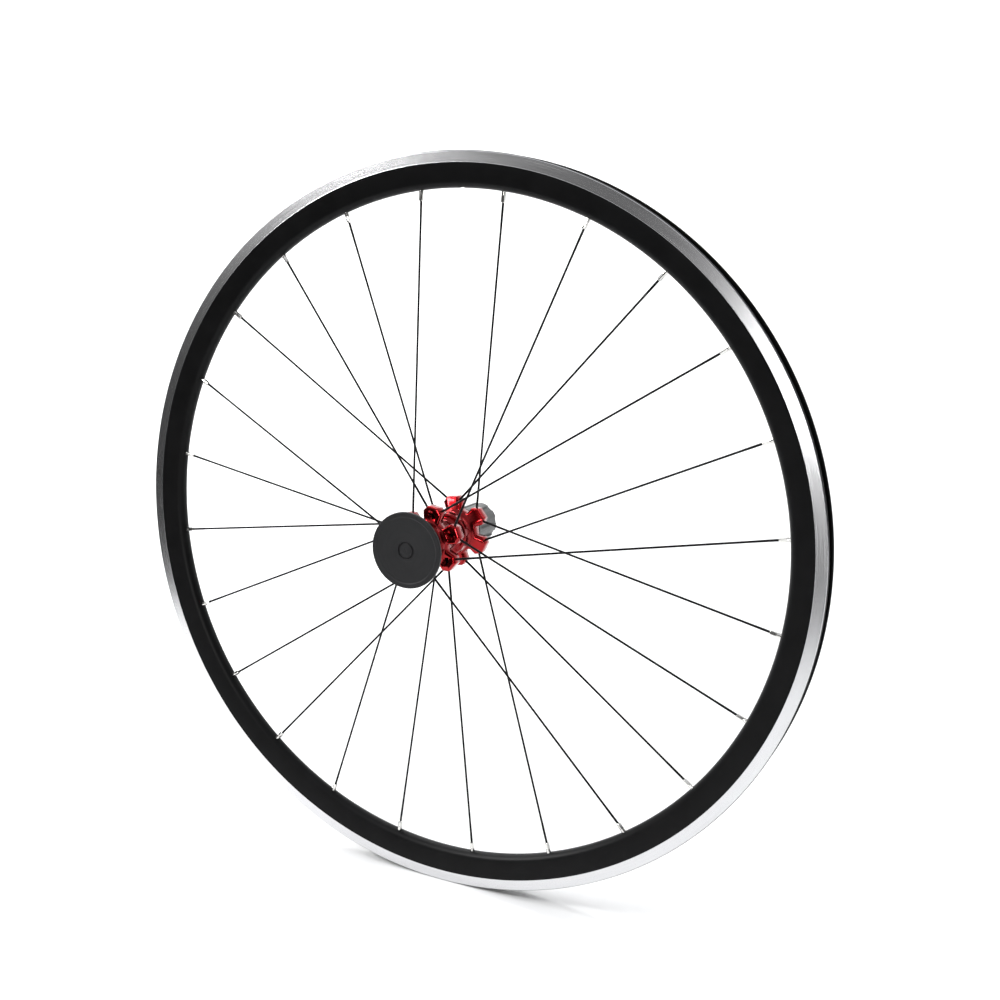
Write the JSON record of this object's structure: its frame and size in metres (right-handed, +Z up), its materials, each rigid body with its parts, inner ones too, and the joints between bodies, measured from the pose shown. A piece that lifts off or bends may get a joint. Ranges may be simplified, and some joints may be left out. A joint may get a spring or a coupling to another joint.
{
  "type": "bicycle rear wheel",
  "caption": "Spoked bicycle rear wheel for rim brakes: deep black rim with silver brake tracks, red star-flange hub, ratchet freehub and hollow axle.",
  "frame": {"origin": "the wheel's centre: on the axle line, in the middle plane of the rim", "axes": "+Y along the axle to the drive side, where the freehub is; +Z up with the wheel standing; +X completes the frame"},
  "size_m": [0.633, 0.1441, 0.6329],
  "materials": {
    "rim_black": "black anodised walls with machined silver brake tracks",
    "hub_red": "glossy red anodised",
    "spoke_black": "black coated drawn steel",
    "nipple_silver": "bright nickel plated",
    "freehub_grey": "grey hard anodised",
    "steel": "ground and hardened",
    "bearing_balls": "polished",
    "axle_metal": "turned, satin",
    "fitting_black": "black anodised",
    "cage_plastic": "moulded",
    "seal_rubber": "moulded",
    "tape_plastic": "thin woven strip",
    "disc_plastic": "satin moulded"
  },
  "bodies": {
    "axle": {"axle": "axle_metal", "left_locknut": "fitting_black", "right_locknut": "fitting_black", "left_end_spacer": "fitting_black", "right_end_spacer": "fitting_black", "hub_to_freehub_spacer": "axle_metal", "freehub_bearing_spacer": "axle_metal", "left_dust_cover": "fitting_black", "right_dust_cover": "fitting_black", "left_hub_bearing_inner_race": "steel", "right_hub_bearing_inner_race": "steel", "freehub_inner_bearing_inner_race": "steel", "freehub_outer_bearing_inner_race": "steel"},
    "wheel": {"rim": "rim_black", "rim_tape": "tape_plastic", "rim_joint_sleeve": "axle_metal", "left_nipples": "nipple_silver", "right_nipples": "nipple_silver", "left_leading_spokes": "spoke_black", "left_trailing_spokes": "spoke_black", "right_leading_spokes": "spoke_black", "right_trailing_spokes": "spoke_black", "hub_shell": "hub_red", "ratchet_ring": "steel", "left_hub_bearing_outer_race": "steel", "left_hub_bearing_seals": "seal_rubber", "right_hub_bearing_outer_race": "steel", "right_hub_bearing_seals": "seal_rubber"},
    "freehub": {"freehub_body": "freehub_grey", "freehub_circlip": "steel", "freehub_seal": "seal_rubber", "pawl_springs": "steel", "freehub_inner_bearing_outer_race": "steel", "freehub_inner_bearing_seals": "seal_rubber", "freehub_outer_bearing_outer_race": "steel", "freehub_outer_bearing_seals": "seal_rubber"},
    "axle_protector": {"axle_protector": "disc_plastic"},
    "left_hub_bearing_cage_and_balls": {"left_hub_bearing_balls": "bearing_balls", "left_hub_bearing_cage": "cage_plastic"},
    "right_hub_bearing_cage_and_balls": {"right_hub_bearing_balls": "bearing_balls", "right_hub_bearing_cage": "cage_plastic"},
    "freehub_inner_bearing_cage_and_balls": {"freehub_inner_bearing_balls": "bearing_balls", "freehub_inner_bearing_cage": "cage_plastic"},
    "freehub_outer_bearing_cage_and_balls": {"freehub_outer_bearing_balls": "bearing_balls", "freehub_outer_bearing_cage": "cage_plastic"},
    "pawl_1": {"pawl_1": "steel"},
    "pawl_2": {"pawl_2": "steel"},
    "pawl_3": {"pawl_3": "steel"}
  },
  "joints": [
    {"name": "wheel_spin", "type": "hinge", "parent": "axle", "child": "wheel", "pos_m": [0, 0, 0], "axis": [0, 1, 0], "continuous": true},
    {"name": "freehub_spin", "type": "hinge", "parent": "axle", "child": "freehub", "pos_m": [0, 0.0435, 0], "axis": [0, 1, 0], "continuous": true},
    {"name": "protector_pull", "type": "slide", "parent": "axle", "child": "axle_protector", "axis": [0, -1, 0], "range_m": [0, 0.03]},
    {"name": "left_hub_bearing_roll", "type": "hinge", "parent": "axle", "child": "left_hub_bearing_cage_and_balls", "pos_m": [0, -0.0365, 0], "axis": [0, 1, 0], "continuous": true},
    {"name": "right_hub_bearing_roll", "type": "hinge", "parent": "axle", "child": "right_hub_bearing_cage_and_balls", "pos_m": [0, 0.007, 0], "axis": [0, 1, 0], "continuous": true},
    {"name": "freehub_inner_bearing_roll", "type": "hinge", "parent": "axle", "child": "freehub_inner_bearing_cage_and_balls", "pos_m": [0, 0.0305, 0], "axis": [0, 1, 0], "continuous": true},
    {"name": "freehub_outer_bearing_roll", "type": "hinge", "parent": "axle", "child": "freehub_outer_bearing_cage_and_balls", "pos_m": [0, 0.0475, 0], "axis": [0, 1, 0], "continuous": true},
    {"name": "pawl_1_lift", "type": "hinge", "parent": "freehub", "child": "pawl_1", "pos_m": [0, 0.0165, 0.0119], "axis": [0, 1, 0], "range_deg": [0, 11]},
    {"name": "pawl_2_lift", "type": "hinge", "parent": "freehub", "child": "pawl_2", "pos_m": [0.01031, 0.0165, -0.00595], "axis": [0, 1, 0], "range_deg": [0, 11]},
    {"name": "pawl_3_lift", "type": "hinge", "parent": "freehub", "child": "pawl_3", "pos_m": [-0.01031, 0.0165, -0.00595], "axis": [0, 1, 0], "range_deg": [0, 11]}
  ],
  "couplings": [
    {"joint": "left_hub_bearing_roll", "follows": "wheel_spin", "ratio": 0.593},
    {"joint": "right_hub_bearing_roll", "follows": "wheel_spin", "ratio": 0.593},
    {"joint": "freehub_inner_bearing_roll", "follows": "freehub_spin", "ratio": 0.593},
    {"joint": "freehub_outer_bearing_roll", "follows": "freehub_spin", "ratio": 0.593},
    {"joint": "pawl_2_lift", "follows": "pawl_1_lift", "ratio": 1},
    {"joint": "pawl_3_lift", "follows": "pawl_1_lift", "ratio": 1}
  ]
}
